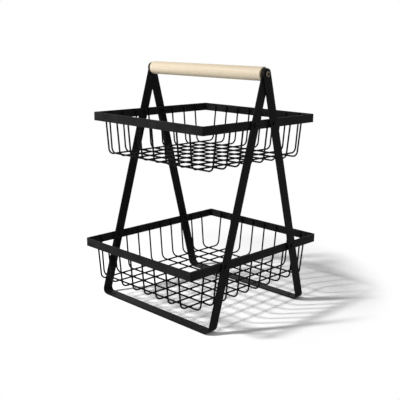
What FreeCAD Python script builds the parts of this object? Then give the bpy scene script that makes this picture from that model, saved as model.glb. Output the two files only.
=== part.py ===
import FreeCAD, Part
import math
import os

import Sketcher
from FreeCAD import Placement, Rotation, Vector

# A two-tier wire basket. Two flat strap frames lean together and meet at a round wooden handle;
# two rectangular wire baskets are screwed between their legs.
# Millimetres. +Z is up, +X runs along the handle, -Y is the front. The origin is on the floor,
# under the middle of the handle.

SIZES = {
    # Leg frames: one strap bent into a U, its legs leaning in to the handle
    "handle_height": 394.5,
    "foot_spread": 222.0,
    "strap_width": 18.0,
    "strap_thickness": 2.0,
    "bend_radius": 8.0,
    "edge_round": 0.4,
    # Basket rims: flat strip on edge
    "rim_width": 255.0,
    "upper_depth": 269.0,
    "lower_depth": 311.0,
    "rim_height": 14.0,
    "rim_thickness": 2.0,
    "rim_corner": 3.0,
    "grip_drop": 70.0,
    "floor_gap": 38.0,
    # Basket wires
    "wire_diameter": 2.8,
    "basket_drop": 72.5,
    "nut_clearance": 2.0,
    "wire_end_gap": 2.5,
    "wall_lean": 6.0,
    "wall_kink": 12.0,
    "wire_bend": 10.0,
    "weld_sink": 0.04,
    # Wooden handle and what holds it
    "handle_diameter": 22.0,
    "handle_edge": 1.0,
    "handle_end_gap": 2.3,
    "insert_diameter": 8.0,
    "insert_length": 15.0,
    "insert_hole": 18.0,
    "insert_collar": 13.0,
    "collar_play": 0.3,
    "bolt_diameter": 5.0,
    "bolt_length": 20.0,
    "bolt_head": 9.5,
    "bolt_head_height": 2.7,
    "bolt_head_round": 2.0,
    "bolt_socket": 3.0,
    "bolt_socket_depth": 1.6,
    "bolt_play": 0.05,
    "bolt_head_gap": 0.2,
    "snug": 0.03,
    # Screws, nuts and spacers between the rims and the legs
    "screw_diameter": 4.0,
    "screw_head": 7.6,
    "screw_head_height": 2.2,
    "screw_head_round": 1.6,
    "screw_socket": 2.5,
    "screw_socket_depth": 1.3,
    "screw_end": 1.6,
    "screw_hole_play": 0.2,
    "nut_flats": 7.0,
    "nut_height": 3.2,
    "washer_diameter": 9.0,
    "washer_thickness": 1.0,
    # Push-in rubber feet under the bars
    "foot_pad": 1.5,
    "foot_pad_diameter": 10.0,
    "foot_pad_edge": 0.5,
    "foot_stem": 4.4,
    "foot_cap": 5.6,
    "foot_cap_height": 1.2,
    "foot_cap_taper": 0.6,
    "foot_hole_play": 0.1,
    "foot_inset": 20.0,
}

# Lengths that follow from the sizes above, as sheet expressions
FOOT_Y = "(dims.foot_spread / 2)"
LEG_RISE = "(dims.handle_height - dims.foot_pad)"
RIM_X = "(dims.rim_width / 2)"
FRONT_INNER_X = f"({RIM_X} + dims.washer_thickness)"
REAR_INNER_X = f"({FRONT_INNER_X} + dims.strap_thickness)"
REAR_OUTER_X = f"({REAR_INNER_X} + dims.strap_thickness)"
REAR_SPACER = f"({REAR_INNER_X} - {RIM_X})"
UPPER_TOP = "(dims.handle_height - dims.grip_drop)"
LOWER_TOP = "(dims.floor_gap + dims.basket_drop)"
UPPER_SCREW_Z = f"({UPPER_TOP} - dims.rim_height / 2)"
LOWER_SCREW_Z = f"({LOWER_TOP} - dims.rim_height / 2)"
UPPER_SCREW_Y = f"({FOOT_Y} * (dims.handle_height - {UPPER_SCREW_Z}) / {LEG_RISE})"
LOWER_SCREW_Y = f"({FOOT_Y} * (dims.handle_height - {LOWER_SCREW_Z}) / {LEG_RISE})"
SCREW_HOLE = "(dims.screw_diameter / 2 + dims.screw_hole_play)"
FOOT_X = f"({FRONT_INNER_X} - dims.foot_inset)"
CROSS_DROP = "(dims.basket_drop - dims.wire_diameter / 2)"
LONG_DROP = f"({CROSS_DROP} - dims.wire_diameter + dims.weld_sink)"
WIRE_INSET = "(dims.rim_thickness + dims.wire_diameter / 2 - dims.weld_sink)"
NUT_TO_WIRE = "(dims.nut_flats / sqrt(3) + dims.wire_diameter / 2 + dims.nut_clearance)"

doc = FreeCAD.newDocument("tiered_wire_basket")
sheet = doc.addObject("Spreadsheet::Sheet", "dims")
for row, (alias, number) in enumerate(SIZES.items(), start=1):
    sheet.set(f"A{row}", alias)
    sheet.set(f"B{row}", str(number))
    sheet.setAlias(f"B{row}", alias)
doc.recompute()

# How a sketch numbers its own axes and the points of a line or an arc
VERTICAL_AXIS, HORIZONTAL_AXIS = range(-2, 0)
START, END, CENTRE = range(1, 4)
ORIGIN = (HORIZONTAL_AXIS, START)
NEAR = 1e-2
nodes = []


def size(expression):
    """The present value of a sheet expression."""
    value = sheet.evalExpression(expression)
    return getattr(value, "Value", value)


def new_body(label, keep=True):
    """A body of its own; kept bodies are written out as sub-parts."""
    body = doc.addObject("PartDesign::Body", label)
    body.Label = label
    if keep:
        nodes.append(body)
    return body


def origin_plane(body, role):
    """One of a body's own three planes."""
    return next(item for item in body.Origin.OriginFeatures if item.Role == role)


def new_sketch(body, role, name):
    """A sketch on one of the body's planes."""
    sketch = body.newObject("Sketcher::SketchObject", f"{body.Name}_{name}")
    sketch.AttachmentSupport = [(origin_plane(body, role), "")]
    sketch.MapMode = "FlatFace"
    return sketch


def join(sketch, kind, *places):
    """A constraint with no size of its own."""
    sketch.addConstraint(Sketcher.Constraint(kind, *places))


def drive(sketch, name, expression, kind, *places):
    """A constraint whose size follows the sheet."""
    index = sketch.addConstraint(Sketcher.Constraint(kind, *places, size(expression)))
    sketch.renameConstraint(index, name)
    sketch.setExpression(f"Constraints.{name}", expression)


def put_point(sketch, name, x, y, *point):
    """Ties a point to the sketch's origin by two expressions; "0" puts it on that axis."""
    if x == "0":
        join(sketch, "PointOnObject", *point, VERTICAL_AXIS)
    else:
        drive(sketch, f"{name}_x", x, "DistanceX", *ORIGIN, *point)
    if y == "0":
        join(sketch, "PointOnObject", *point, HORIZONTAL_AXIS)
    else:
        drive(sketch, f"{name}_y", y, "DistanceY", *ORIGIN, *point)


def add_line(sketch, start, end):
    return sketch.addGeometry(Part.LineSegment(Vector(*start, 0), Vector(*end, 0)), False)


def add_arc(sketch, centre, radius, from_degrees, to_degrees):
    """An arc that runs counter-clockwise between two directions."""
    circle = Part.Circle(Vector(*centre, 0), Vector(0, 0, 1), radius)
    arc = Part.ArcOfCircle(circle, math.radians(from_degrees), math.radians(to_degrees))
    return sketch.addGeometry(arc, False)


def add_circle(sketch, name, x, y, radius):
    """A circle whose centre and radius are sheet expressions."""
    circle = Part.Circle(Vector(size(x), size(y), 0), Vector(0, 0, 1), size(radius))
    index = sketch.addGeometry(circle, False)
    put_point(sketch, name, x, y, index, CENTRE)
    drive(sketch, f"{name}_radius", radius, "Radius", index)


def add_rectangle(sketch, name, half_x, half_y):
    """A rectangle centred on the sketch's origin."""
    x = size(half_x)
    y = size(half_y)
    corners = [(-x, -y), (x, -y), (x, y), (-x, y)]
    lines = [add_line(sketch, corners[k], corners[(k + 1) % 4]) for k in range(4)]
    for k in range(4):
        join(sketch, "Coincident", lines[k], END, lines[(k + 1) % 4], START)
        join(sketch, "Vertical" if k % 2 else "Horizontal", lines[k])
    join(sketch, "Symmetric", lines[0], START, lines[2], START, *ORIGIN)
    put_point(sketch, name, half_x, half_y, lines[2], START)


def add_hexagon(sketch, name, across_flats):
    """A regular hexagon about the sketch's origin, one corner on the horizontal axis."""
    corner = f"({across_flats} / sqrt(3))"
    reach = size(corner)
    turns = [math.radians(60 * k) for k in range(6)]
    corners = [(reach * math.cos(turn), reach * math.sin(turn)) for turn in turns]
    lines = [add_line(sketch, corners[k - 1], corners[k]) for k in range(6)]
    circle = sketch.addGeometry(Part.Circle(Vector(0, 0, 0), Vector(0, 0, 1), reach), True)
    join(sketch, "Coincident", circle, CENTRE, *ORIGIN)
    for k in range(6):
        join(sketch, "Coincident", lines[k - 1], END, lines[k], START)
        join(sketch, "PointOnObject", lines[k], END, circle)
    for line in lines[1:]:
        join(sketch, "Equal", lines[0], line)
    join(sketch, "PointOnObject", lines[0], END, HORIZONTAL_AXIS)
    drive(sketch, f"{name}_corner", corner, "Radius", circle)


def pad(body, sketch, length, symmetric=False, downward=False):
    feature = body.newObject("PartDesign::Pad", f"{sketch.Name}_pad")
    feature.Profile = sketch
    feature.SideType = "Symmetric" if symmetric else "One side"
    feature.Reversed = downward
    feature.setExpression("Length", length)
    return feature


def cut_through(body, sketch):
    """A pocket right through the body, both ways from the sketch."""
    doc.recompute()
    before = body.Shape.Volume
    feature = body.newObject("PartDesign::Pocket", f"{sketch.Name}_cut")
    feature.Profile = sketch
    feature.SideType = "Symmetric"
    feature.Type = "ThroughAll"
    doc.recompute()
    assert body.Shape.Volume < before, f"{sketch.Name} cut nothing"


def cut_down(body, sketch, depth):
    """A blind pocket below the sketch."""
    doc.recompute()
    before = body.Shape.Volume
    feature = body.newObject("PartDesign::Pocket", f"{sketch.Name}_cut")
    feature.Profile = sketch
    feature.setExpression("Length", depth)
    doc.recompute()
    assert body.Shape.Volume < before, f"{sketch.Name} cut nothing"


def round_edges(body, name, radius, chosen):
    """A fillet on every edge of the body that the test picks."""
    doc.recompute()
    base = body.Tip
    names = [f"Edge{k}" for k, edge in enumerate(base.Shape.Edges, start=1) if chosen(edge)]
    assert names, f"{body.Label} has no edge for {name}"
    feature = body.newObject("PartDesign::Fillet", f"{body.Name}_{name}")
    feature.Base = (base, names)
    feature.setExpression("Radius", radius)


def is_hole_edge(edge):
    """True for the full circle at either end of a drilled hole."""
    return isinstance(edge.Curve, Part.Circle) and len(edge.Vertexes) == 1


def place(body, x="0", y="0", z="0", rotation=None):
    """Where a body or a copy of one sits, each coordinate a sheet expression."""
    body.Placement = Placement(Vector(size(x), size(y), size(z)), rotation or Rotation())
    for axis, expression in (("x", x), ("y", y), ("z", z)):
        if expression != "0":
            body.setExpression(f"Placement.Base.{axis}", expression)


def turned(label, profile, keep=True):
    """A round piece about the local Z axis, from (radius, height) corner expressions in order."""
    body = new_body(label, keep)
    sketch = new_sketch(body, "XZ_Plane", "profile")
    corners = [(size(radius), size(height)) for radius, height in profile]
    count = len(corners)
    lines = [add_line(sketch, corners[k], corners[(k + 1) % count]) for k in range(count)]
    for k, (radius, height) in enumerate(profile):
        join(sketch, "Coincident", lines[k - 1], END, lines[k], START)
        put_point(sketch, f"corner_{k}", radius, height, lines[k], START)
    feature = body.newObject("PartDesign::Revolution", f"{body.Name}_turn")
    feature.Profile = sketch
    feature.ReferenceAxis = (sketch, ["V_Axis"])
    return body


def leg_frame(label, inner_x, rotation):
    """A U-shaped strap: a bar on the floor and two legs that lean from the front to the handle."""
    body = new_body(label)
    height = size("dims.handle_height")
    floor = size("dims.foot_pad")
    foot = size(FOOT_Y)
    half = size("dims.strap_width") / 2
    lean = math.degrees(math.atan2(foot, height - floor))
    side = (half * math.cos(math.radians(lean)), -half * math.sin(math.radians(lean)))
    spread = half / math.cos(math.radians(lean))

    # Seen along the handle: the leaning strap with its round top
    outline = new_sketch(body, "YZ_Plane", "outline")
    left = add_line(outline, (-foot - spread, floor), (-side[0], height - side[1]))
    top = add_arc(outline, (0, height), half, -lean, 180 - lean)
    right = add_line(outline, (side[0], height + side[1]), (-foot + spread, floor))
    base = add_line(outline, (-foot + spread, floor), (-foot - spread, floor))
    axis = add_line(outline, (-foot, floor), (0, height))
    outline.toggleConstruction(axis)
    join(outline, "Tangent", left, END, top, END)
    join(outline, "Tangent", right, START, top, START)
    join(outline, "Coincident", right, END, base, START)
    join(outline, "Coincident", base, END, left, START)
    join(outline, "Horizontal", base)
    join(outline, "Coincident", axis, END, top, CENTRE)
    join(outline, "PointOnObject", axis, START, base)
    join(outline, "Parallel", left, axis)
    join(outline, "Parallel", right, axis)
    join(outline, "PointOnObject", top, CENTRE, VERTICAL_AXIS)
    drive(outline, "height", "dims.handle_height", "DistanceY", *ORIGIN, top, CENTRE)
    drive(outline, "half_width", "dims.strap_width / 2", "Radius", top)
    drive(outline, "floor", "dims.foot_pad", "DistanceY", *ORIGIN, axis, START)
    drive(outline, "foot", FOOT_Y, "DistanceX", axis, START, *ORIGIN)
    pad(body, outline, f"2 * ({inner_x} + dims.strap_thickness)", symmetric=True)

    # Seen from the front: the space between the legs, with round lower corners
    gap = new_sketch(body, "XZ_Plane", "gap")
    x = size(inner_x)
    bend = size("dims.bend_radius")
    low = floor + size("dims.strap_thickness")
    high = height + 2 * half
    wall_left = add_line(gap, (-x, high), (-x, low + bend))
    bend_left = add_arc(gap, (-x + bend, low + bend), bend, 180, 270)
    bar = add_line(gap, (-x + bend, low), (x - bend, low))
    bend_right = add_arc(gap, (x - bend, low + bend), bend, 270, 360)
    wall_right = add_line(gap, (x, low + bend), (x, high))
    lid = add_line(gap, (x, high), (-x, high))
    join(gap, "Tangent", wall_left, END, bend_left, START)
    join(gap, "Tangent", bend_left, END, bar, START)
    join(gap, "Tangent", bar, END, bend_right, START)
    join(gap, "Tangent", bend_right, END, wall_right, START)
    join(gap, "Coincident", wall_right, END, lid, START)
    join(gap, "Coincident", lid, END, wall_left, START)
    join(gap, "Vertical", wall_left)
    join(gap, "Vertical", wall_right)
    join(gap, "Horizontal", bar)
    join(gap, "Horizontal", lid)
    join(gap, "Equal", bend_left, bend_right)
    drive(gap, "left_x", inner_x, "DistanceX", wall_left, START, *ORIGIN)
    drive(gap, "right_x", inner_x, "DistanceX", *ORIGIN, wall_right, START)
    drive(gap, "bend", "dims.bend_radius", "Radius", bend_left)
    drive(gap, "low", "dims.foot_pad + dims.strap_thickness", "DistanceY", *ORIGIN, bar, START)
    drive(gap, "high", "dims.handle_height + dims.strap_width", "DistanceY", *ORIGIN, lid, START)
    cut_through(body, gap)

    outer = x + size("dims.strap_thickness")
    round_edges(body, "bends", "dims.bend_radius + dims.strap_thickness", lambda edge: (
        edge.BoundBox.XLength < NEAR
        and abs(abs(edge.CenterOfMass.x) - outer) < NEAR
        and abs(edge.CenterOfMass.z - floor) < NEAR))

    bolt_holes = new_sketch(body, "YZ_Plane", "bolt_holes")
    add_circle(bolt_holes, "bolt", "0", "dims.handle_height", "dims.bolt_diameter / 2 + dims.bolt_play")
    add_circle(bolt_holes, "upper", f"-{UPPER_SCREW_Y}", UPPER_SCREW_Z, SCREW_HOLE)
    add_circle(bolt_holes, "lower", f"-{LOWER_SCREW_Y}", LOWER_SCREW_Z, SCREW_HOLE)
    cut_through(body, bolt_holes)

    foot_holes = new_sketch(body, "XY_Plane", "foot_holes")
    for name, foot_x in (("left", f"-{FOOT_X}"), ("right", FOOT_X)):
        add_circle(foot_holes, name, foot_x, f"-{FOOT_Y}", "dims.foot_stem / 2 + dims.foot_hole_play")
    cut_through(body, foot_holes)
    round_edges(body, "long_edges", "dims.edge_round", lambda edge: not is_hole_edge(edge))
    place(body, rotation=rotation)


def basket_rim(label, depth, top, screw_y):
    """A rectangular ring of flat strip, its top edge at the local origin."""
    body = new_body(label)
    ring = new_sketch(body, "XY_Plane", "ring")
    half_y = f"{depth} / 2"
    add_rectangle(ring, "outer", RIM_X, half_y)
    add_rectangle(ring, "inner", f"{RIM_X} - dims.rim_thickness", f"{half_y} - dims.rim_thickness")
    pad(body, ring, "dims.rim_height", downward=True)

    def upright(edge, x):
        ends = edge.Vertexes
        return all(abs(abs(v.X) - x) < NEAR for v in ends) and edge.BoundBox.ZLength > NEAR

    outer = size(RIM_X)
    inner = outer - size("dims.rim_thickness")
    round_edges(body, "outer_corners", "dims.rim_corner", lambda edge: upright(edge, outer))
    inner_radius = "dims.rim_corner - dims.rim_thickness"
    round_edges(body, "inner_corners", inner_radius, lambda edge: upright(edge, inner))

    holes = new_sketch(body, "YZ_Plane", "screw_holes")
    for name, hole_y in (("front", f"-{screw_y}"), ("rear", screw_y)):
        add_circle(holes, name, hole_y, "-dims.rim_height / 2", SCREW_HOLE)
    cut_through(body, holes)
    round_edges(body, "long_edges", "dims.edge_round", lambda edge: (
        edge.BoundBox.ZLength < NEAR and not is_hole_edge(edge)))
    place(body, z=top)


def basket_wire(label, half_span, drop):
    """A U of round wire in the local XZ plane: up the walls and over to the rim's inner face.

    The local origin is at the height of the rim's top edge. One half is swept from the middle
    of the floor and mirrored.
    """
    body = new_body(label)
    span = size(half_span)
    depth = size(drop)
    lean = size("dims.wall_lean")
    slope = math.radians(lean)
    bend = size("dims.wire_bend")
    kink = size("dims.wall_kink")
    rim = size("dims.rim_height")
    end = size("dims.wire_end_gap")
    kink_end = (span - kink + kink * math.cos(slope), -rim - kink * math.sin(slope))
    bend_end_z = -depth + bend - bend * math.sin(slope)
    bend_end_x = kink_end[0] - (kink_end[1] - bend_end_z) * math.tan(slope)
    bend_x = bend_end_x - bend * math.cos(slope)

    path = new_sketch(body, "XZ_Plane", "path")
    floor = add_line(path, (0, -depth), (bend_x, -depth))
    lower = add_arc(path, (bend_x, -depth + bend), bend, -90, -lean)
    wall = add_line(path, (bend_end_x, bend_end_z), kink_end)
    upper = add_arc(path, (span - kink, -rim), kink, -lean, 0)
    tab = add_line(path, (span, -rim), (span, -end))
    for first, second in ((floor, lower), (lower, wall), (wall, upper), (upper, tab)):
        join(path, "Tangent", first, END, second, START)
    join(path, "PointOnObject", floor, START, VERTICAL_AXIS)
    join(path, "Horizontal", floor)
    join(path, "Vertical", tab)
    drive(path, "drop", drop, "DistanceY", floor, START, *ORIGIN)
    drive(path, "half_span", half_span, "DistanceX", *ORIGIN, tab, START)
    drive(path, "end_gap", "dims.wire_end_gap", "DistanceY", tab, END, *ORIGIN)
    drive(path, "tab_foot", "dims.rim_height", "DistanceY", tab, START, *ORIGIN)
    drive(path, "bend", "dims.wire_bend", "Radius", lower)
    drive(path, "kink", "dims.wall_kink", "Radius", upper)
    drive(path, "lean", "(90 - dims.wall_lean) * 1deg", "Angle", wall)

    section = new_sketch(body, "YZ_Plane", "section")
    add_circle(section, "wire", "0", f"-{drop}", "dims.wire_diameter / 2")
    pipe = body.newObject("PartDesign::AdditivePipe", f"{label}_pipe")
    pipe.Profile = section
    pipe.Spine = (path, [f"Edge{k}" for k in range(1, 6)])
    mirrored = body.newObject("PartDesign::Mirrored", f"{label}_mirrored")
    mirrored.Originals = [pipe]
    mirrored.MirrorPlane = (origin_plane(body, "YZ_Plane"), [""])
    body.Tip = mirrored
    return body


def basket_wires(name, depth, top, cross_places, long_pairs):
    """Every wire of one basket: cross wires run along X, long wires along Y and lie on them.

    The places are those of one half, from the middle out; the other half mirrors them. The long
    wires are as far from each other as the last ones are from the corners.
    """
    inner_x = f"({RIM_X} - dims.rim_thickness)"
    long_places = [f"({inner_x} * {2 * k + 1} / {2 * long_pairs + 1})" for k in range(long_pairs)]
    for k, across in enumerate(both_halves(cross_places), start=1):
        wire = basket_wire(f"{name}_cross_wire_{k}", f"{RIM_X} - {WIRE_INSET}", CROSS_DROP)
        place(wire, y=across, z=top)
    for k, across in enumerate(both_halves(long_places), start=1):
        wire = basket_wire(f"{name}_long_wire_{k}", f"{depth} / 2 - {WIRE_INSET}", LONG_DROP)
        place(wire, x=across, z=top, rotation=Rotation(Vector(0, 0, 1), 90))


def both_halves(places):
    return [f"-{place}" for place in reversed(places)] + places


def upper_basket_wires(cross_pairs, long_pairs):
    """The middle cross wires stand just inside the screws; the rest share the way to the corner."""
    first = f"({UPPER_SCREW_Y} - {NUT_TO_WIRE})"
    room = f"(dims.upper_depth / 2 - dims.rim_thickness - {first})"
    places = [f"({first} + {room} * {k} / {cross_pairs})" for k in range(cross_pairs)]
    basket_wires("upper", "dims.upper_depth", UPPER_TOP, places, long_pairs)


def lower_basket_wires(inside_pairs, outside_pairs, long_pairs):
    """Cross wires share the way from the middle to the screws and from there to the corner."""
    room = f"(dims.lower_depth / 2 - dims.rim_thickness - {LOWER_SCREW_Y})"
    inside = [f"({LOWER_SCREW_Y} * {2 * k + 1} / {2 * inside_pairs})" for k in range(inside_pairs)]
    outside = [f"({LOWER_SCREW_Y} + {room} * {2 * k + 1} / {2 * outside_pairs + 1})"
               for k in range(outside_pairs)]
    basket_wires("lower", "dims.lower_depth", LOWER_TOP, inside + outside, long_pairs)


def button_screw(label, kind, length, keep=True):
    """A button-head screw along the local Z axis, the top of its head at the origin."""
    shank = f"dims.{kind}_diameter / 2"
    head = f"dims.{kind}_head / 2"
    head_height = f"dims.{kind}_head_height"
    body = turned(label, [
        ("0", "0"),
        ("0", f"-({head_height} + {length})"),
        (shank, f"-({head_height} + {length})"),
        (shank, f"-{head_height}"),
        (head, f"-{head_height}"),
        (head, "0"),
    ], keep)
    head_x = size(head)
    round_edges(body, "dome", f"dims.{kind}_head_round", lambda edge: (
        abs(edge.BoundBox.XMax - head_x) < NEAR and abs(edge.BoundBox.ZMin) < NEAR))
    hexagon = new_sketch(body, "XY_Plane", "socket")
    add_hexagon(hexagon, "socket", f"dims.{kind}_socket")
    cut_down(body, hexagon, f"dims.{kind}_socket_depth")
    return body


def ring(label, outer, inner, height, keep=True):
    """A plain sleeve standing on the local XY plane."""
    return turned(label, [(inner, "0"), (outer, "0"), (outer, height), (inner, height)], keep)


def hex_nut(label):
    """A plain hexagon nut standing on the local XY plane."""
    body = new_body(label, keep=False)
    outline = new_sketch(body, "XY_Plane", "outline")
    add_hexagon(outline, "flats", "dims.nut_flats")
    add_circle(outline, "bore", "0", "0", "dims.screw_diameter / 2 + dims.snug")
    pad(body, outline, "dims.nut_height")
    return body


def along_x(sign):
    """Turns local +Z to point out along +X or -X."""
    return Rotation(Vector(0, 1, 0), 90 * sign)


def rim_group(label, pattern, x, front=True, rear=True):
    """Copies of one fastener at the crossings of the legs and the rims, as one sub-part."""
    copies = []
    ends = [-1] * front + [1] * rear
    for y_sign in ends:
        for y, z in ((UPPER_SCREW_Y, UPPER_SCREW_Z), (LOWER_SCREW_Y, LOWER_SCREW_Z)):
            for x_sign in (-1, 1):
                copy = doc.addObject("App::Link", f"{label}_copy")
                copy.LinkedObject = pattern
                place(copy, f"{x_sign} * {x}", f"{y_sign} * {y}", z, along_x(x_sign))
                copies.append(copy)
    group = doc.addObject("Part::Compound", label)
    group.Label = label
    group.Links = copies
    nodes.append(group)


def rim_fasteners():
    """Screws from outside, spacers between leg and rim, nuts inside the rim."""
    inner_face = f"({RIM_X} - dims.rim_thickness)"
    nut = hex_nut("nut_pattern")
    rim_group("rim_nuts", nut, f"({inner_face} - dims.nut_height)")
    radius = "dims.washer_diameter / 2"
    for name, thickness in (("front", "dims.washer_thickness"), ("rear", REAR_SPACER)):
        is_front = name == "front"
        spacer = ring(f"{name}_spacer_pattern", radius, SCREW_HOLE, thickness, keep=False)
        rim_group(f"{name}_rim_spacers", spacer, RIM_X, is_front, not is_front)
        outer_face = f"({RIM_X} + {thickness} + dims.strap_thickness)"
        length = f"({outer_face} - {inner_face} + dims.nut_height + dims.screw_end)"
        screw = button_screw(f"{name}_screw_pattern", "screw", length, keep=False)
        head_top = f"({outer_face} + dims.screw_head_height)"
        rim_group(f"{name}_rim_screws", screw, head_top, is_front, not is_front)


def handle():
    """The wooden rod, an insert in each end with a collar against the leg, and the bolts it turns on."""
    length = f"(2 * ({FRONT_INNER_X} - dims.handle_end_gap))"
    radius = "dims.handle_diameter / 2"
    bore = "(dims.insert_diameter / 2 + dims.snug)"
    floor = f"({length} / 2 - dims.insert_hole)"
    thread = "(dims.bolt_diameter / 2 + dims.snug)"
    collar_top = "(dims.insert_length + dims.handle_end_gap - dims.collar_play)"
    rod = turned("handle_dowel", [
        ("0", f"-{floor}"),
        (bore, f"-{floor}"),
        (bore, f"-{length} / 2"),
        (f"{radius} - dims.handle_edge", f"-{length} / 2"),
        (radius, f"-{length} / 2 + dims.handle_edge"),
        (radius, f"{length} / 2 - dims.handle_edge"),
        (f"{radius} - dims.handle_edge", f"{length} / 2"),
        (bore, f"{length} / 2"),
        (bore, floor),
        ("0", floor),
    ])
    place(rod, z="dims.handle_height", rotation=along_x(1))
    for side, sign in (("left", -1), ("right", 1)):
        insert = turned(f"handle_insert_{side}", [
            (thread, "0"),
            ("dims.insert_diameter / 2", "0"),
            ("dims.insert_diameter / 2", "dims.insert_length"),
            ("dims.insert_collar / 2", "dims.insert_length"),
            ("dims.insert_collar / 2", collar_top),
            (thread, collar_top),
        ])
        insert_x = f"{sign} * ({length} / 2 - dims.insert_length)"
        place(insert, insert_x, z="dims.handle_height", rotation=along_x(sign))
        bolt = button_screw(f"handle_bolt_{side}", "bolt", "dims.bolt_length")
        bolt_x = f"{sign} * ({REAR_OUTER_X} + dims.bolt_head_gap + dims.bolt_head_height)"
        place(bolt, bolt_x, z="dims.handle_height", rotation=along_x(sign))


def rubber_feet():
    """Push-in feet: a pad under the bar, a stem through it and a cap that snaps out on top."""
    bar_top = "(dims.foot_pad + dims.strap_thickness)"
    cap_top = f"({bar_top} + dims.foot_cap_height)"
    for end, y_sign in (("front", -1), ("rear", 1)):
        for side, x_sign in (("left", -1), ("right", 1)):
            foot = turned(f"rubber_foot_{end}_{side}", [
                ("0", "0"),
                ("dims.foot_pad_diameter / 2 - dims.foot_pad_edge", "0"),
                ("dims.foot_pad_diameter / 2", "dims.foot_pad_edge"),
                ("dims.foot_pad_diameter / 2", "dims.foot_pad"),
                ("dims.foot_stem / 2", "dims.foot_pad"),
                ("dims.foot_stem / 2", bar_top),
                ("dims.foot_cap / 2", bar_top),
                ("dims.foot_cap / 2 - dims.foot_cap_taper", cap_top),
                ("0", cap_top),
            ])
            place(foot, f"{x_sign} * {FOOT_X}", f"{y_sign} * {FOOT_Y}")


leg_frame("front_leg_frame", FRONT_INNER_X, Rotation())
leg_frame("rear_leg_frame", REAR_INNER_X, Rotation(Vector(0, 0, 1), 180))
basket_rim("upper_rim", "dims.upper_depth", UPPER_TOP, UPPER_SCREW_Y)
basket_rim("lower_rim", "dims.lower_depth", LOWER_TOP, LOWER_SCREW_Y)
upper_basket_wires(cross_pairs=4, long_pairs=4)
lower_basket_wires(inside_pairs=3, outside_pairs=2, long_pairs=4)
rim_fasteners()
handle()
rubber_feet()
doc.recompute()

for item in doc.Objects:
    if "Invalid" in item.State or "Error" in item.State:
        raise RuntimeError(f"{item.Label} did not build: {item.State}")
for node in nodes:
    if node.Shape.isNull() or not node.Shape.isValid() or not node.Shape.Solids:
        raise RuntimeError(f"{node.Label} has no valid solid")

os.makedirs("parts", exist_ok=True)
for node in nodes:
    node.Shape.exportStep(f"parts/{node.Label}.step")
    print(f"{node.Label}: {len(node.Shape.Solids)} solids, {node.Shape.Volume:.1f} mm3")
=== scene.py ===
# %% [markdown]
# A two-tier wire basket. Two flat steel straps, each bent into a U, stand as legs and carry two open
# wire baskets, and a round wooden handle turns on bolts between the leg tops. The CAD model already has
# every part at its true size, so this lesson dresses it: the finishes, the weld marks, the screw
# threads, the studio. Nothing is moved, and places on the basket are read from the loaded frame.

# %% load the frame
import math

import bpy
from mathutils import Matrix, Vector


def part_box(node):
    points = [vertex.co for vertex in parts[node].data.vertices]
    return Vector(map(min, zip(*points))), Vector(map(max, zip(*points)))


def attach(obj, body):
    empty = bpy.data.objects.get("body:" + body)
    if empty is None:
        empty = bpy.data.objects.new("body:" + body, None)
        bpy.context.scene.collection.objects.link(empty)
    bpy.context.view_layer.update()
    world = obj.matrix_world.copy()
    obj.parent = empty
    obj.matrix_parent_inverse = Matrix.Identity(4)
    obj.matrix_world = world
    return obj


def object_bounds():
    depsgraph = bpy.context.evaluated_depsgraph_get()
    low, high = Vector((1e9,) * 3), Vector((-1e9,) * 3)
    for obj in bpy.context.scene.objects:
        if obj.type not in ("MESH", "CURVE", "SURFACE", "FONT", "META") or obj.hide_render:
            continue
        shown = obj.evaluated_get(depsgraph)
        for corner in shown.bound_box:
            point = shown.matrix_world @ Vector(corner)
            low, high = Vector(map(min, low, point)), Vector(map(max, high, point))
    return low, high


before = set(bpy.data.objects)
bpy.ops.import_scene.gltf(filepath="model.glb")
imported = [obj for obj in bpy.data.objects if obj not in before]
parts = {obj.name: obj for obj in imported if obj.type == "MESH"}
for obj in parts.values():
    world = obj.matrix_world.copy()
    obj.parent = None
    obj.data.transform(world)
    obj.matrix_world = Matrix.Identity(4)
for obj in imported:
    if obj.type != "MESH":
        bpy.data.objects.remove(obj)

cad_box = [list(corner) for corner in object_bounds()]
MM = 0.001
print("parts:", len(parts), "box in mm:", [[round(c / MM, 1) for c in corner] for corner in cad_box])

# %% [markdown]
# The camera. The photograph looks down a little on one corner of the basket, from about 1.2 m away. A
# lens can be guessed by eye, but the long straight edges of the rims and bars give it away, so the seven
# numbers from FOCAL_PIXELS down were solved from those edges. The picture is square, and the camera leans
# by under a degree.

# %% camera at the photograph's angle
SENSOR = 36.0
IMAGE_SIDE = 400
FOCAL_PIXELS = 704.6
TURN = math.radians(44.302)
TILT = math.radians(13.132)
LEAN = math.radians(0.778)
DISTANCE = 1.21564
LOOK_AT_HEIGHT = 0.17423
LOOK_ASIDE = -0.00552

to_camera = Vector((math.sin(TURN) * math.cos(TILT), -math.cos(TURN) * math.cos(TILT), math.sin(TILT)))
level_right = Vector((math.cos(TURN), math.sin(TURN), 0.0))
level_up = to_camera.cross(level_right)
right = level_right * math.cos(LEAN) + level_up * math.sin(LEAN)
up = level_up * math.cos(LEAN) - level_right * math.sin(LEAN)
look_at = Vector((0.0, 0.0, LOOK_AT_HEIGHT)) + level_right * LOOK_ASIDE

lens = bpy.data.cameras.new("photo_camera")
lens.sensor_width = SENSOR
lens.lens = SENSOR * FOCAL_PIXELS / IMAGE_SIDE
camera = bpy.data.objects.new("photo_camera", lens)
bpy.context.collection.objects.link(camera)
turned = Matrix((right, up, to_camera)).transposed().to_4x4()
camera.matrix_world = Matrix.Translation(look_at + to_camera * DISTANCE) @ turned
bpy.context.scene.camera = camera
print("lens in mm:", round(lens.lens, 1), "camera at:", [round(c, 3) for c in camera.location])

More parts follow.
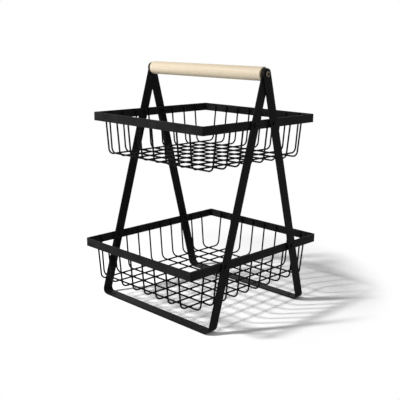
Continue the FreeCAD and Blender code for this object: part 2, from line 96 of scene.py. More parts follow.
# %% [markdown]
# The light. Shadows in the photograph fall to the right and spread apart, so one lamp stands at the left,
# in front of the basket and not far away. Its height and place follow from the shadow of the lower rim.
# The lamp is taller than it is wide: shadows that run away from it, such as those of the legs, stay sharp,
# and those of the rims go soft. A bigger lamp would wash out the wire grid in the shadow. A dim white
# world fills the rest, and rays that reach the lens or a gloss see it as a plain white backdrop.

# %% lamp and world
scene = bpy.context.scene
scene.view_settings.view_transform = "Standard"

WHITE = (1.0, 1.0, 1.0, 1.0)
LAMP_PLACE = Vector((-0.68, -1.19, 1.22))
LAMP_WIDTH = 0.12
LAMP_HEIGHT = 0.27
LAMP_POWER = 23.0
FILL = 0.19

light = bpy.data.lights.new("soft_lamp", "AREA")
light.shape = "RECTANGLE"
light.size = LAMP_WIDTH
light.size_y = LAMP_HEIGHT
light.energy = LAMP_POWER
lamp = bpy.data.objects.new("soft_lamp", light)
bpy.context.collection.objects.link(lamp)
lamp.location = LAMP_PLACE
lamp.rotation_mode = "QUATERNION"
lamp.rotation_quaternion = (look_at - LAMP_PLACE).to_track_quat("-Z", "Y")


def new_node(tree, kind, values=None, **settings):
    """Adds one node to a tree: settings are its own properties, values fill its sockets."""
    made = tree.nodes.new(kind)
    for name, setting in settings.items():
        setattr(made, name, setting)
    for socket, value in (values or {}).items():
        made.inputs[socket].default_value = value
    return made


def seen_directly(tree):
    """A value of 1 for rays from the lens, from a gloss or through glass, and 0 for the rest."""
    path = new_node(tree, "ShaderNodeLightPath")
    lens_or_gloss = new_node(tree, "ShaderNodeMath", operation="MAXIMUM")
    or_through = new_node(tree, "ShaderNodeMath", operation="MAXIMUM")
    tree.links.new(path.outputs["Is Camera Ray"], lens_or_gloss.inputs[0])
    tree.links.new(path.outputs["Is Glossy Ray"], lens_or_gloss.inputs[1])
    tree.links.new(lens_or_gloss.outputs[0], or_through.inputs[0])
    tree.links.new(path.outputs["Is Transmission Ray"], or_through.inputs[1])
    return or_through.outputs[0]


world = bpy.data.worlds.new("white_studio")
world.use_nodes = True
scene.world = world
sky = world.node_tree
sky.nodes.clear()
sky_light = new_node(sky, "ShaderNodeBackground", {"Color": WHITE})
sky_level = new_node(sky, "ShaderNodeMapRange", {"To Min": FILL, "To Max": 1.0})
sky_out = new_node(sky, "ShaderNodeOutputWorld")
sky.links.new(seen_directly(sky), sky_level.inputs["Value"])
sky.links.new(sky_level.outputs["Result"], sky_light.inputs["Strength"])
sky.links.new(sky_light.outputs["Background"], sky_out.inputs["Surface"])
print("lamp", round((LAMP_PLACE - look_at).length, 2), "m away, fill", FILL)

# %% [markdown]
# The floor. A white sweep of paper runs under and behind the basket. Lit paper alone would grow grey
# with distance from the lamp, so round the basket the floor is plain white paper that takes the shadows,
# and further out it fades, for the lens and for a gloss, into an even white. A distance from a point on
# the floor steers it. That point lies behind the middle, where the photograph's shadow reaches furthest.
# Those same rays see a brighter paper than the one that lights the basket, so that it reads as white.

# %% floor
# A Mix node's colour sockets, by number, because its other sockets have the same names
COLOUR_A = 6
COLOUR_B = 7
COLOUR_OUT = 2

FLOOR_REACH = 8.0
PAPER_WHITE = (0.9, 0.9, 0.9, 1.0)
PAPER_SEEN = (1.72, 1.72, 1.72, 1.0)
FADE_MIDDLE = (-0.08, 0.07, 0.0)
FADE_FROM = 0.26
FADE_TO = 0.37

floor_mesh = bpy.data.meshes.new("paper_floor")
floor_level = cad_box[0][2]
floor_corners = [
    (-FLOOR_REACH, -FLOOR_REACH, floor_level),
    (FLOOR_REACH, -FLOOR_REACH, floor_level),
    (FLOOR_REACH, FLOOR_REACH, floor_level),
    (-FLOOR_REACH, FLOOR_REACH, floor_level),
]
floor_mesh.from_pydata(floor_corners, [], [(0, 1, 2, 3)])
floor = bpy.data.objects.new("paper_floor", floor_mesh)
bpy.context.collection.objects.link(floor)

paper = bpy.data.materials.new("white_paper")
paper.use_nodes = True
sheet = paper.node_tree
sheet.nodes.clear()
lit_paper = new_node(sheet, "ShaderNodeBsdfDiffuse")
paper_shades = {COLOUR_A: PAPER_WHITE, COLOUR_B: PAPER_SEEN}
paper_colour = new_node(sheet, "ShaderNodeMix", paper_shades, data_type="RGBA")
even_white = new_node(sheet, "ShaderNodeEmission", {"Color": WHITE, "Strength": 1.0})
place = new_node(sheet, "ShaderNodeTexCoord")
from_middle = new_node(sheet, "ShaderNodeVectorMath", {1: FADE_MIDDLE}, operation="DISTANCE")
fade = new_node(sheet, "ShaderNodeMapRange", {"From Min": FADE_FROM, "From Max": FADE_TO})
fade.interpolation_type = "SMOOTHSTEP"
only_seen = new_node(sheet, "ShaderNodeMath", operation="MULTIPLY")
blend = new_node(sheet, "ShaderNodeMixShader")
sheet_out = new_node(sheet, "ShaderNodeOutputMaterial")
sheet.links.new(place.outputs["Object"], from_middle.inputs[0])
sheet.links.new(from_middle.outputs["Value"], fade.inputs["Value"])
sheet.links.new(fade.outputs["Result"], only_seen.inputs[0])
seen = seen_directly(sheet)
sheet.links.new(seen, only_seen.inputs[1])
sheet.links.new(seen, paper_colour.inputs["Factor"])
sheet.links.new(paper_colour.outputs[COLOUR_OUT], lit_paper.inputs["Color"])
sheet.links.new(only_seen.outputs[0], blend.inputs["Fac"])
sheet.links.new(lit_paper.outputs["BSDF"], blend.inputs[1])
sheet.links.new(even_white.outputs["Emission"], blend.inputs[2])
sheet.links.new(blend.outputs["Shader"], sheet_out.inputs["Surface"])
floor_mesh.materials.append(paper)
print("floor at", round(floor_level / MM, 2), "mm, fades to white from", FADE_FROM, "to", FADE_TO, "m")

# %% [markdown]
# Powder coat. The steel is sprayed with dry black powder and baked, which leaves a satin skin with a faint
# orange peel about a millimetre across and a much finer grain on top. Both could be modelled, but they are
# far smaller than a pixel, so noise drives a bump instead. The straps, rims and wires all have this skin,
# each at its own scale, so it is a node group that is built once and placed in each material.

# %% group: coat skin
GRAIN_SHARE = 0.35


def new_group(name, takes, gives):
    """An empty shader group with the named float or vector inputs and float outputs."""
    group = bpy.data.node_groups.new(name, "ShaderNodeTree")
    for socket, kind, start in takes:
        made = group.interface.new_socket(socket, in_out="INPUT", socket_type=kind)
        if start is not None:
            made.default_value = start
    for socket in gives:
        group.interface.new_socket(socket, in_out="OUTPUT", socket_type="NodeSocketFloat")
    return group, group.nodes.new("NodeGroupInput"), group.nodes.new("NodeGroupOutput")


def coat_skin_group():
    """Orange peel and fine grain as a height, and slow clouds as a shade, from a position in metres."""
    takes = [
        ("Position", "NodeSocketVector", None),
        ("Peel per Metre", "NodeSocketFloat", 900.0),
        ("Grain per Metre", "NodeSocketFloat", 5200.0),
        ("Clouds per Metre", "NodeSocketFloat", 38.0),
    ]
    group, given, result = new_group("coat_skin", takes, ["Height", "Clouds", "Grain"])
    peel = new_node(group, "ShaderNodeTexNoise", {"Detail": 2.0, "Roughness": 0.45})
    grain = new_node(group, "ShaderNodeTexNoise", {"Detail": 1.0, "Roughness": 0.5})
    clouds = new_node(group, "ShaderNodeTexNoise", {"Detail": 4.0, "Roughness": 0.6})
    for texture, scale in ((peel, 1), (grain, 2), (clouds, 3)):
        group.links.new(given.outputs["Position"], texture.inputs["Vector"])
        group.links.new(given.outputs[scale], texture.inputs["Scale"])
    height = new_node(group, "ShaderNodeMath", {1: GRAIN_SHARE}, operation="MULTIPLY_ADD")
    group.links.new(grain.outputs["Fac"], height.inputs[0])
    group.links.new(peel.outputs["Fac"], height.inputs[2])
    group.links.new(height.outputs[0], result.inputs["Height"])
    group.links.new(clouds.outputs["Fac"], result.inputs["Clouds"])
    group.links.new(grain.outputs["Fac"], result.inputs["Grain"])
    return group


coat_skin = coat_skin_group()
print("group", coat_skin.name, "with", len(coat_skin.nodes), "nodes")

# %% [markdown]
# Handling marks. A basket that is carried and set down gets fine rubs, lighter and a little smoother than
# the skin round them. Painting them by hand would need a picture, so two stretched noises cross and only
# their highest crests are kept. Steel, wood and bolts all use the same marks, each with its own strength.

# %% group: handling marks
CREST_TOP = 0.86
# The two ways that the rubs run: a turn in radians and a squeeze along each axis
RUNS = ((0.6, (0.12, 1.0, 1.0)), (2.1, (1.0, 0.15, 0.6)))


def handling_marks_group():
    """A mask from 0 to 1 of sparse short rubs that run two ways."""
    takes = [
        ("Position", "NodeSocketVector", None),
        ("Marks per Metre", "NodeSocketFloat", 260.0),
        ("Sparseness", "NodeSocketFloat", 0.62),
    ]
    group, given, result = new_group("handling_marks", takes, ["Mask"])
    kept = []
    for turn, squeeze in RUNS:
        stretch = new_node(group, "ShaderNodeMapping")
        stretch.inputs["Rotation"].default_value = (turn, 0.4 * turn, turn)
        stretch.inputs["Scale"].default_value = squeeze
        rub = new_node(group, "ShaderNodeTexNoise", {"Detail": 3.0, "Roughness": 0.55})
        crest = new_node(group, "ShaderNodeMapRange", {"From Max": CREST_TOP})
        group.links.new(given.outputs["Position"], stretch.inputs["Vector"])
        group.links.new(stretch.outputs["Vector"], rub.inputs["Vector"])
        group.links.new(given.outputs["Marks per Metre"], rub.inputs["Scale"])
        group.links.new(rub.outputs["Fac"], crest.inputs["Value"])
        group.links.new(given.outputs["Sparseness"], crest.inputs["From Min"])
        kept.append(crest)
    either = new_node(group, "ShaderNodeMath", operation="MAXIMUM")
    group.links.new(kept[0].outputs["Result"], either.inputs[0])
    group.links.new(kept[1].outputs["Result"], either.inputs[1])
    group.links.new(either.outputs[0], result.inputs["Mask"])
    return group


handling_marks = handling_marks_group()
print("group", handling_marks.name, "with", len(handling_marks.nodes), "nodes")

# %% [markdown]
# The three black finishes. Straps and rims are flat, so their peel shows as a soft mottle; the thin wires
# hold the powder in a slightly thicker, smoother skin. One maker builds all three from the two groups. The
# colour is close to black, because in the photograph even the lit faces stay dark, and the specular level
# is set low on the shader itself: a dry powder skin mirrors less than a wet paint.

# %% black powder coats


def start_material(name):
    """A new material with one Principled shader and a position node, ready for detail."""
    material = bpy.data.materials.new(name)
    material.use_nodes = True
    tree = material.node_tree
    tree.nodes.clear()
    shader = new_node(tree, "ShaderNodeBsdfPrincipled")
    output = new_node(tree, "ShaderNodeOutputMaterial")
    tree.links.new(shader.outputs["BSDF"], output.inputs["Surface"])
    return material, tree, shader, new_node(tree, "ShaderNodeTexCoord")


def place_group(tree, group, position, values):
    """Puts a group into a material, fed with a position and its own values."""
    placed = new_node(tree, "ShaderNodeGroup", node_tree=group)
    tree.links.new(position, placed.inputs["Position"])
    for socket, value in values.items():
        placed.inputs[socket].default_value = value
    return placed


def mix_colours(tree, factor, first, second):
    """Mixes two colours by a socket; a colour is either four numbers or another socket."""
    mixed = new_node(tree, "ShaderNodeMix", data_type="RGBA")
    tree.links.new(factor, mixed.inputs["Factor"])
    for socket, colour in ((mixed.inputs[COLOUR_A], first), (mixed.inputs[COLOUR_B], second)):
        if isinstance(colour, tuple):
            socket.default_value = colour
        else:
            tree.links.new(colour, socket)
    return mixed.outputs[COLOUR_OUT]


def remap(tree, value, low, high, to_low, to_high):
    """Stretches a value from one range to another and clamps it."""
    made = new_node(tree, "ShaderNodeMapRange", {1: low, 2: high, 3: to_low, 4: to_high})
    tree.links.new(value, made.inputs["Value"])
    return made.outputs["Result"]


def bump(tree, shader, height, depth, strength):
    """Feeds a height into the shader's normal; depth is in metres."""
    made = new_node(tree, "ShaderNodeBump", {"Strength": strength, "Distance": depth})
    tree.links.new(height, made.inputs["Height"])
    tree.links.new(made.outputs["Normal"], shader.inputs["Normal"])


def grey(level):
    """A black or grey with the faintest cool cast, as four numbers."""
    return (level, level, level * 1.05, 1.0)


def powder_coat(name, dark, light, rub, peel, smooth, rough):
    """Black powder coat: clouds and rubs in the colour, clouds in the roughness, peel in the normal."""
    material, tree, shader, position = start_material(name)
    skin = place_group(tree, coat_skin, position.outputs["Object"], {"Peel per Metre": peel})
    marks = place_group(tree, handling_marks, position.outputs["Object"], {"Marks per Metre": 210.0})
    cloudy = remap(tree, skin.outputs["Clouds"], 0.35, 0.65, 0.0, 1.0)
    black = mix_colours(tree, cloudy, grey(dark), grey(light))
    faint = remap(tree, marks.outputs["Mask"], 0.0, 1.0, 0.0, 0.5)
    tree.links.new(mix_colours(tree, faint, black, grey(rub)), shader.inputs["Base Color"])
    tree.links.new(remap(tree, skin.outputs["Clouds"], 0.3, 0.7, smooth, rough), shader.inputs["Roughness"])
    bump(tree, shader, skin.outputs["Height"], 0.06 * MM, 0.5)
    shader.inputs["Specular IOR Level"].default_value = 0.03
    return material


strap_black = powder_coat(
    "strap_powder_coat", dark=0.009, light=0.015, rub=0.045, peel=900.0, smooth=0.34, rough=0.46
)
rim_black = powder_coat(
    "rim_powder_coat", dark=0.013, light=0.022, rub=0.055, peel=1000.0, smooth=0.36, rough=0.48
)
wire_black = powder_coat(
    "wire_powder_coat", dark=0.007, light=0.011, rub=0.03, peel=1500.0, smooth=0.36, rough=0.48
)
print("black finishes:", strap_black.name, rim_black.name, wire_black.name)

# %% [markdown]
# The handle is a turned beech rod, oiled but not stained. Beech is pale, with soft growth bands, short dark
# flecks along the grain and, on the cut ends, the same bands as arcs. A picture of wood would not match on
# the ends, so the grain is solid: rings round a heart that lies outside the rod cut through it, and the
# sides and the ends show the same rings. The noise is squeezed along X, which draws it out into streaks.

# %% beech wood
RING_GAP = 2.6 * MM
HEART_ASIDE = Vector((0.0, 0.034, -0.026))
PALE_WOOD = (0.85, 0.745, 0.57, 1)
BAND_WOOD = (0.77, 0.64, 0.46, 1)
STREAK_WOOD = (0.71, 0.57, 0.395, 1)
FLECK_WOOD = (0.45, 0.30, 0.165, 1)
# End grain colour, darkened further than real end grain as painted shade on the rod's ends
END_GRAIN_AND_SHADE = (0.17, 0.105, 0.055, 1)
RUBBED_WOOD = (0.58, 0.43, 0.27, 1)
# A wave texture runs through this many radians in each unit of length
WAVE_RADIANS = 20.0

dowel_low, dowel_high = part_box("handle_dowel")
dowel_axis = (dowel_low + dowel_high) / 2
heart = dowel_axis + HEART_ASIDE


def ring_scale(gap):
    """The scale at which a wave texture draws one ring in each gap."""
    return math.tau / (WAVE_RADIANS * gap)


def squeezed(tree, position, centre, along):
    """A position measured from a centre, with its X squeezed so that patterns stretch along the rod."""
    made = new_node(tree, "ShaderNodeMapping")
    made.inputs["Location"].default_value = (-centre.x * along, -centre.y, -centre.z)
    made.inputs["Scale"].default_value = (along, 1.0, 1.0)
    tree.links.new(position, made.inputs["Vector"])
    return made.outputs["Vector"]


def beech():
    """Solid beech: rings, streaks and flecks in the colour, and darker where the rod is cut across, as end
    grain with painted shade.
    """
    material, tree, shader, position = start_material("beech_oiled")
    rings = new_node(tree, "ShaderNodeTexWave", {"Detail": 2.0, "Detail Scale": 0.5, "Distortion": 3.2})
    rings.wave_type = "RINGS"
    rings.rings_direction = "X"
    rings.inputs["Scale"].default_value = ring_scale(RING_GAP)
    streaks = new_node(tree, "ShaderNodeTexNoise", {"Scale": 420.0, "Detail": 3.0, "Roughness": 0.6})
    flecks = new_node(tree, "ShaderNodeTexNoise", {"Scale": 1500.0, "Detail": 1.0})
    stretches = ((rings, heart, 0.04), (streaks, dowel_axis, 0.025), (flecks, dowel_axis, 0.14))
    for texture, centre, along in stretches:
        tree.links.new(squeezed(tree, position.outputs["Object"], centre, along), texture.inputs["Vector"])
    banded = remap(tree, rings.outputs["Fac"], 0.0, 1.0, 0.0, 0.55)
    base = mix_colours(tree, banded, PALE_WOOD, BAND_WOOD)
    streaky = remap(tree, streaks.outputs["Fac"], 0.4, 0.75, 0.0, 0.5)
    base = mix_colours(tree, streaky, base, STREAK_WOOD)
    fleck_mask = remap(tree, flecks.outputs["Fac"], 0.62, 0.74, 0.0, 0.5)
    base = mix_colours(tree, fleck_mask, base, FLECK_WOOD)
    facing = new_node(tree, "ShaderNodeSeparateXYZ")
    along_rod = new_node(tree, "ShaderNodeMath", operation="ABSOLUTE")
    tree.links.new(position.outputs["Normal"], facing.inputs["Vector"])
    tree.links.new(facing.outputs["X"], along_rod.inputs[0])
    # The cut ends get a darker colour: real end grain, deepened by painted shade
    end_grain_shade_mask = remap(tree, along_rod.outputs[0], 0.75, 0.97, 0.0, 0.85)
    base = mix_colours(tree, end_grain_shade_mask, base, END_GRAIN_AND_SHADE)
    marks = place_group(tree, handling_marks, position.outputs["Object"], {"Marks per Metre": 150.0})
    polished = remap(tree, marks.outputs["Mask"], 0.0, 1.0, 0.0, 0.25)
    tree.links.new(mix_colours(tree, polished, base, RUBBED_WOOD), shader.inputs["Base Color"])
    tree.links.new(remap(tree, streaks.outputs["Fac"], 0.3, 0.7, 0.46, 0.62), shader.inputs["Roughness"])
    relief = new_node(tree, "ShaderNodeMath", {1: -0.5}, operation="MULTIPLY_ADD")
    tree.links.new(fleck_mask, relief.inputs[0])
    tree.links.new(streaks.outputs["Fac"], relief.inputs[2])
    bump(tree, shader, relief.outputs[0], 0.08 * MM, 0.45)
    shader.inputs["Specular IOR Level"].default_value = 0.35
    return material


handle_wood = beech()
print("wood rings every", RING_GAP / MM, "mm, rod", round((dowel_high.x - dowel_low.x) / MM, 1), "mm long")

# %% [markdown]
# The fittings. The handle bolts are plain plated steel, turned on a lathe, so their round heads carry fine
# rings about the bolt's own axis and a duller, stained film. In and round the socket, painted shade darkens
# them to a deep brown. The inserts in the wood are brass. The rim screws, nuts and washers are black oxide:
# dark steel that shines through where it is rubbed. The feet are soft rubber with a matt, speckled skin.
# Each is a short material, because each surface is very small.

# %% bolts, inserts, black screws and rubber
TOOL_MARK = 0.16 * MM
PLATED_STEEL = (0.13, 0.105, 0.085, 1)
STAINED_STEEL = (0.055, 0.041, 0.031, 1)
RUBBED_STEEL = (0.3, 0.27, 0.23, 1)
# Painted shade: the dark brown laid in and round each bolt's socket
SOCKET_PAINTED_SHADE = (0.028, 0.018, 0.01, 1)
BRASS = (0.60, 0.42, 0.17, 1.0)
BRASS_FILM = (0.42, 0.28, 0.11, 1.0)

bolt_low, bolt_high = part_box("handle_bolt_right")
bolt_head_radius = (bolt_high.z - bolt_low.z) / 2
# Where the painted shade round the socket is full and where it has faded out
shade_inside = 0.38 * bolt_head_radius
shade_outside = 0.6 * bolt_head_radius


def plated_bolt():
    """Dull plated steel with lathe rings about the handle's axis and painted shade, dark brown, in the
    socket.
    """
    material, tree, shader, position = start_material("bolt_plated_steel")
    turned_rings = new_node(tree, "ShaderNodeTexWave", {"Distortion": 1.0, "Detail": 1.0})
    turned_rings.wave_type = "RINGS"
    turned_rings.rings_direction = "X"
    turned_rings.inputs["Scale"].default_value = ring_scale(TOOL_MARK)
    centred = squeezed(tree, position.outputs["Object"], dowel_axis, 1.0)
    tree.links.new(centred, turned_rings.inputs["Vector"])
    film = new_node(tree, "ShaderNodeTexNoise", {"Scale": 620.0, "Detail": 4.0, "Roughness": 0.65})
    tree.links.new(position.outputs["Object"], film.inputs["Vector"])
    marks = place_group(tree, handling_marks, position.outputs["Object"], {"Marks per Metre": 900.0})
    stained = remap(tree, film.outputs["Fac"], 0.35, 0.7, 0.0, 0.8)
    steel = mix_colours(tree, stained, PLATED_STEEL, STAINED_STEEL)
    rubbed = mix_colours(tree, marks.outputs["Mask"], steel, RUBBED_STEEL)
    # Painted shade in and round the socket, fading out with distance from the axis
    from_axis = new_node(tree, "ShaderNodeVectorMath", operation="LENGTH")
    tree.links.new(squeezed(tree, position.outputs["Object"], dowel_axis, 0.0), from_axis.inputs[0])
    socket_shade = remap(tree, from_axis.outputs["Value"], shade_inside, shade_outside, 0.95, 0.0)
    tree.links.new(mix_colours(tree, socket_shade, rubbed, SOCKET_PAINTED_SHADE), shader.inputs["Base Color"])
    tree.links.new(remap(tree, film.outputs["Fac"], 0.3, 0.7, 0.3, 0.5), shader.inputs["Roughness"])
    bump(tree, shader, turned_rings.outputs["Fac"], 0.01 * MM, 0.4)
    shader.inputs["Metallic"].default_value = 1.0
    return material


def small_metal(name, metal, film_colour, smooth, rough, metallic):
    """A little fitting: a mottled film over metal, rubbed bright on its crests."""
    material, tree, shader, position = start_material(name)
    film = new_node(tree, "ShaderNodeTexNoise", {"Scale": 900.0, "Detail": 4.0, "Roughness": 0.6})
    tree.links.new(position.outputs["Object"], film.inputs["Vector"])
    marks = place_group(tree, handling_marks, position.outputs["Object"], {"Marks per Metre": 1100.0})
    filmed = remap(tree, film.outputs["Fac"], 0.35, 0.65, 0.0, 1.0)
    body = mix_colours(tree, filmed, metal, film_colour)
    rubbed = remap(tree, marks.outputs["Mask"], 0.0, 1.0, 0.0, 0.45)
    bright = tuple(min(1.0, channel * 2.2) for channel in metal[:3]) + (1.0,)
    tree.links.new(mix_colours(tree, rubbed, body, bright), shader.inputs["Base Color"])
    tree.links.new(remap(tree, film.outputs["Fac"], 0.3, 0.7, smooth, rough), shader.inputs["Roughness"])
    bump(tree, shader, film.outputs["Fac"], 0.02 * MM, 0.4)
    shader.inputs["Metallic"].default_value = metallic
    shader.inputs["Specular IOR Level"].default_value = 0.05
    return material


def rubber():
    """Matt black rubber with pale specks."""
    material, tree, shader, position = start_material("foot_rubber_black")
    skin = place_group(
        tree, coat_skin, position.outputs["Object"], {"Peel per Metre": 2200.0, "Grain per Metre": 9000.0}
    )
    speck = remap(tree, skin.outputs["Grain"], 0.6, 0.75, 0.0, 0.5)
    tree.links.new(mix_colours(tree, speck, grey(0.012), grey(0.04)), shader.inputs["Base Color"])
    tree.links.new(remap(tree, skin.outputs["Clouds"], 0.3, 0.7, 0.72, 0.9), shader.inputs["Roughness"])
    bump(tree, shader, skin.outputs["Height"], 0.08 * MM, 0.6)
    shader.inputs["Specular IOR Level"].default_value = 0.25
    return material


bolt_steel = plated_bolt()
insert_brass = small_metal("insert_brass", BRASS, BRASS_FILM, smooth=0.28, rough=0.45, metallic=1.0)
black_oxide = small_metal(
    "fastener_black_oxide", grey(0.01), grey(0.006), smooth=0.34, rough=0.5, metallic=0.0
)
foot_black = rubber()
print("fittings:", bolt_steel.name, insert_brass.name, black_oxide.name, foot_black.name)

# %% [markdown]
# Dressing the parts. Every part of the frame keeps its own mesh, and only the material in its slot
# changes. The part's name tells which finish it takes, so one short table of name beginnings covers all
# of them, and a part that no line covers would stop the script instead of staying grey.

# %% finishes on the parts
FINISHES = [
    ("front_leg_frame", strap_black),
    ("rear_leg_frame", strap_black),
    ("upper_rim", rim_black),
    ("lower_rim", rim_black),
    ("upper_cross_wire", wire_black),
    ("upper_long_wire", wire_black),
    ("lower_cross_wire", wire_black),
    ("lower_long_wire", wire_black),
    ("handle_dowel", handle_wood),
    ("handle_insert", insert_brass),
    ("handle_bolt", bolt_steel),
    ("rubber_foot", foot_black),
    ("rim_nuts", black_oxide),
    ("front_rim_", black_oxide),
    ("rear_rim_", black_oxide),
]


def finish_for(name):
    """The finish whose name beginning fits this part."""
    return next(finish for start, finish in FINISHES if name.startswith(start))


for name, part in parts.items():
    for slot in part.material_slots:
        slot.material = finish_for(name)
print("dressed", len(parts), "parts in", len({finish_for(name).name for name in parts}), "finishes")

# %% [markdown]
# Weld marks. Each place where two wires cross, and each wire end on a rim, is pressed and welded with a
# short burst of current, which leaves a small swelling in the corner between the two. There are over two
# hundred of them on a regular grid, so Geometry Nodes places one small flattened ball on a list of points.
# The points come from the boxes of the wires, and each carries its own half sizes as an attribute.

# %% where the welds are


def wires(tier, run):
    """The boxes of one tier's wires in one direction."""
    return [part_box(name) for name in sorted(parts) if name.startswith(f"{tier}_{run}_wire_")]


def middle(box):
    """The middle of a box."""
    return (box[0] + box[1]) / 2


first_wire = wires("lower", "cross")[0]
WIRE = first_wire[1].y - first_wire[0].y
RIM_THICKNESS = first_wire[0].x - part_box("lower_rim")[0].x
# Half sizes: a weld at a crossing in X, Y and Z, and one on a rim out from it, along it and up it
CROSS_WELD = Vector((0.66 * WIRE, 0.66 * WIRE, 0.26 * WIRE))
END_WELD = (0.25 * WIRE, 0.74 * WIRE, 1.5 * WIRE)


def crossing_welds(tier):
    """One weld where each long wire lies on each cross wire."""
    found = []
    for cross in wires(tier, "cross"):
        for along in wires(tier, "long"):
            touch = (cross[0].z + WIRE + along[0].z) / 2
            found.append((Vector((middle(along).x, middle(cross).y, touch)), CROSS_WELD))
    return found


def rim_welds(tier):
    """One weld on each wire end, at the middle of its overlap with the inside of the rim."""
    rim_low, rim_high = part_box(f"{tier}_rim")
    thin, wide, tall = END_WELD
    found = []
    for cross in wires(tier, "cross"):
        height = (min(cross[1].z, rim_high.z) + rim_low.z) / 2
        for side in (rim_low.x + RIM_THICKNESS, rim_high.x - RIM_THICKNESS):
            found.append((Vector((side, middle(cross).y, height)), Vector((thin, wide, tall))))
    for along in wires(tier, "long"):
        height = (min(along[1].z, rim_high.z) + rim_low.z) / 2
        for side in (rim_low.y + RIM_THICKNESS, rim_high.y - RIM_THICKNESS):
            found.append((Vector((middle(along).x, side, height)), Vector((wide, thin, tall))))
    return found


welds = [weld for tier in ("upper", "lower") for weld in crossing_welds(tier) + rim_welds(tier)]
print("wire", round(WIRE / MM, 2), "mm, rim", round(RIM_THICKNESS / MM, 2), "mm,", len(welds), "welds")

# %% [markdown]
# The tree. Its inputs are named for what a welder would change: how far the metal swells and how uneven the
# bursts are. A seeded random size keeps the grid from looking stamped. The ball has only forty faces, the
# instances are made real at the end, and the evaluated result becomes a plain mesh without a modifier.

# %% geometry nodes: weld marks


def new_tree(name, takes):
    """An empty geometry tree with a Geometry input and output and the named inputs."""
    tree = bpy.data.node_groups.new(name, "GeometryNodeTree")
    tree.interface.new_socket("Geometry", in_out="INPUT", socket_type="NodeSocketGeometry")
    for socket, kind in takes:
        tree.interface.new_socket(socket, in_out="INPUT", socket_type=kind)
    tree.interface.new_socket("Geometry", in_out="OUTPUT", socket_type="NodeSocketGeometry")
    return tree, tree.nodes.new("NodeGroupInput"), tree.nodes.new("NodeGroupOutput")


def finish_tree(tree, instances, given, result):
    """Ends a tree: real geometry, smooth shading, then the material."""
    real = new_node(tree, "GeometryNodeRealizeInstances")
    smooth = new_node(tree, "GeometryNodeSetShadeSmooth")
    finish = new_node(tree, "GeometryNodeSetMaterial")
    tree.links.new(instances, real.inputs["Geometry"])
    tree.links.new(real.outputs["Geometry"], smooth.inputs["Geometry"])
    tree.links.new(smooth.outputs["Geometry"], finish.inputs["Geometry"])
    tree.links.new(given.outputs["Finish"], finish.inputs["Material"])
    tree.links.new(finish.outputs["Geometry"], result.inputs["Geometry"])


def named_vector(tree, name):
    """A node that reads a vector which each point carries under a name."""
    return new_node(tree, "GeometryNodeInputNamedAttribute", {"Name": name}, data_type="FLOAT_VECTOR")


def weld_tree():
    """One ball on each point, as large as the point says, a little more or a little less."""
    takes = [
        ("Swell", "NodeSocketFloat"),
        ("Unevenness", "NodeSocketFloat"),
        ("Finish", "NodeSocketMaterial"),
    ]
    tree, given, result = new_tree("weld_marks", takes)
    ball = new_node(tree, "GeometryNodeMeshUVSphere", {"Segments": 8, "Rings": 5, "Radius": 1.0})
    half_size = named_vector(tree, "half_size")
    least = new_node(tree, "ShaderNodeMath", operation="SUBTRACT")
    most = new_node(tree, "ShaderNodeMath", operation="ADD")
    burst = new_node(tree, "FunctionNodeRandomValue", {"Seed": 7}, data_type="FLOAT")
    sized = new_node(tree, "ShaderNodeVectorMath", operation="SCALE")
    spread = new_node(tree, "GeometryNodeInstanceOnPoints")
    tree.links.new(given.outputs["Swell"], least.inputs[0])
    tree.links.new(given.outputs["Unevenness"], least.inputs[1])
    tree.links.new(given.outputs["Swell"], most.inputs[0])
    tree.links.new(given.outputs["Unevenness"], most.inputs[1])
    tree.links.new(least.outputs[0], burst.inputs[2])
    tree.links.new(most.outputs[0], burst.inputs[3])
    tree.links.new(half_size.outputs["Attribute"], sized.inputs[0])
    tree.links.new(burst.outputs[1], sized.inputs["Scale"])
    tree.links.new(given.outputs["Geometry"], spread.inputs["Points"])
    tree.links.new(ball.outputs["Mesh"], spread.inputs["Instance"])
    tree.links.new(sized.outputs["Vector"], spread.inputs["Scale"])
    finish_tree(tree, spread.outputs["Instances"], given, result)
    return tree


def point_object(name, points, attributes):
    """A mesh of loose points with vector attributes, as the input of a tree."""
    mesh = bpy.data.meshes.new(name)
    mesh.from_pydata([tuple(point) for point in points], [], [])
    for title, vectors in attributes.items():
        layer = mesh.attributes.new(title, "FLOAT_VECTOR", "POINT")
        layer.data.foreach_set("vector", [number for vector in vectors for number in vector])
    made = bpy.data.objects.new(name, mesh)
    bpy.context.collection.objects.link(made)
    return made


def grow(thing, tree, values):
    """Runs a tree on an object with the named values and keeps the result as its plain mesh."""
    modifier = thing.modifiers.new(tree.name, "NODES")
    modifier.node_group = tree
    for item in tree.interface.items_tree:
        if item.in_out == "INPUT" and item.name in values:
            modifier[item.identifier] = values[item.name]
    evaluated = thing.evaluated_get(bpy.context.evaluated_depsgraph_get())
    grown = bpy.data.meshes.new_from_object(evaluated)
    thing.modifiers.remove(modifier)
    thing.data = grown
    return len(grown.polygons)


weld_points = [point for point, size in welds]
weld_sizes = [size for point, size in welds]
weld_marks = point_object("weld_marks", weld_points, {"half_size": weld_sizes})
weld_values = {"Swell": 1.0, "Unevenness": 0.14, "Finish": wire_black}
weld_faces = grow(weld_marks, weld_tree(), weld_values)
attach(weld_marks, "stand")
print("weld marks:", weld_faces, "faces")

# %% [markdown]
# Screw threads. Each rim screw pokes through its nut by about a millimetre and a half, and on that stub
# the thread shows. A thread is a ridge that follows a helix, which is what a spiral curve and a sweep are
# for: a three-sided profile runs along nearly two turns of it, and the ridge is placed at all eight screws.
# The ends are found in the screws' own meshes, one at each leg of the two baskets. The pitch is the usual
# one of a 4 mm screw, and the ridge sits a little way into the shank, so that it has no gap.

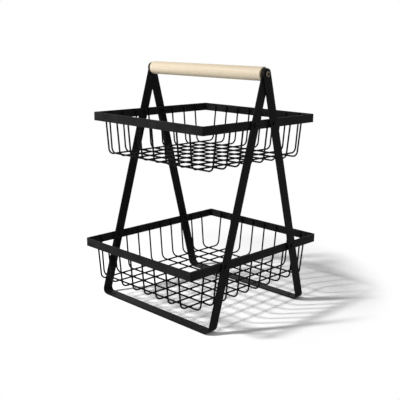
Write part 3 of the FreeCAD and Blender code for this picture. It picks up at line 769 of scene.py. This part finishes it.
# %% where the screw ends are
PITCH = 0.7 * MM
SCREW_RADIUS = 2.0 * MM
STUB_LENGTH = 1.6 * MM
RIDGE = 0.24 * MM
RIDGE_SINK = 0.09 * MM
TURNS_LEFT_OFF = 0.4
tier_split = (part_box("upper_rim")[0].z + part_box("lower_rim")[1].z) / 2


def corner_box(node, right_side, upper):
    """The box of one node's points on one side and one tier."""
    corners = [vertex.co for vertex in parts[node].data.vertices]
    points = [co for co in corners if (co.x > 0) == right_side and (co.z > tier_split) == upper]
    low = Vector([min(point[axis] for point in points) for axis in range(3)])
    high = Vector([max(point[axis] for point in points) for axis in range(3)])
    return low, high


stubs = []
for node in ("front_rim_screws", "rear_rim_screws"):
    for right_side in (True, False):
        for upper in (True, False):
            screw = corner_box(node, right_side, upper)
            inward = -1.0 if right_side else 1.0
            tip = screw[0].x if right_side else screw[1].x
            stub_tip = Vector((tip, middle(screw).y, middle(screw).z))
            stub_turn = Vector((0.0, inward * math.pi / 2, 0.0))
            stubs.append((stub_tip, stub_turn))
print(len(stubs), "screw ends, first at", [round(c / MM, 2) for c in stubs[0][0]])

# %% geometry nodes: screw threads


def thread_tree():
    """A ridge swept along a helix, set back from its tip and placed on each point."""
    takes = [
        ("Radius", "NodeSocketFloat"),
        ("Pitch", "NodeSocketFloat"),
        ("Turns", "NodeSocketFloat"),
        ("Ridge", "NodeSocketFloat"),
        ("Finish", "NodeSocketMaterial"),
    ]
    tree, given, result = new_tree("screw_threads", takes)
    length = new_node(tree, "ShaderNodeMath", operation="MULTIPLY")
    helix = new_node(tree, "GeometryNodeCurveSpiral", {"Resolution": 16})
    profile = new_node(tree, "GeometryNodeCurvePrimitiveCircle", {"Resolution": 3})
    sweep = new_node(tree, "GeometryNodeCurveToMesh", {"Fill Caps": True})
    back = new_node(tree, "ShaderNodeMath", {1: -1.0}, operation="MULTIPLY")
    shift = new_node(tree, "ShaderNodeCombineXYZ")
    seat = new_node(tree, "GeometryNodeTransform")
    turn = named_vector(tree, "turn")
    as_turn = new_node(tree, "FunctionNodeEulerToRotation")
    spread = new_node(tree, "GeometryNodeInstanceOnPoints")
    tree.links.new(given.outputs["Pitch"], length.inputs[0])
    tree.links.new(given.outputs["Turns"], length.inputs[1])
    tree.links.new(given.outputs["Turns"], helix.inputs["Rotations"])
    tree.links.new(given.outputs["Radius"], helix.inputs["Start Radius"])
    tree.links.new(given.outputs["Radius"], helix.inputs["End Radius"])
    tree.links.new(length.outputs[0], helix.inputs["Height"])
    tree.links.new(given.outputs["Ridge"], profile.inputs["Radius"])
    tree.links.new(helix.outputs["Curve"], sweep.inputs["Curve"])
    tree.links.new(profile.outputs["Curve"], sweep.inputs["Profile Curve"])
    tree.links.new(length.outputs[0], back.inputs[0])
    tree.links.new(back.outputs[0], shift.inputs["Z"])
    tree.links.new(sweep.outputs["Mesh"], seat.inputs["Geometry"])
    tree.links.new(shift.outputs["Vector"], seat.inputs["Translation"])
    tree.links.new(turn.outputs["Attribute"], as_turn.inputs["Euler"])
    tree.links.new(given.outputs["Geometry"], spread.inputs["Points"])
    tree.links.new(seat.outputs["Geometry"], spread.inputs["Instance"])
    tree.links.new(as_turn.outputs["Rotation"], spread.inputs["Rotation"])
    finish_tree(tree, spread.outputs["Instances"], given, result)
    return tree


stub_tips = [tip for tip, turn in stubs]
stub_turns = [turn for tip, turn in stubs]
screw_threads = point_object("screw_threads", stub_tips, {"turn": stub_turns})
thread_values = {
    "Radius": SCREW_RADIUS - RIDGE_SINK,
    "Pitch": PITCH,
    "Turns": STUB_LENGTH / PITCH - TURNS_LEFT_OFF,
    "Ridge": RIDGE,
    "Finish": black_oxide,
}
thread_faces = grow(screw_threads, thread_tree(), thread_values)
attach(screw_threads, "stand")
print("screw threads:", thread_faces, "faces")
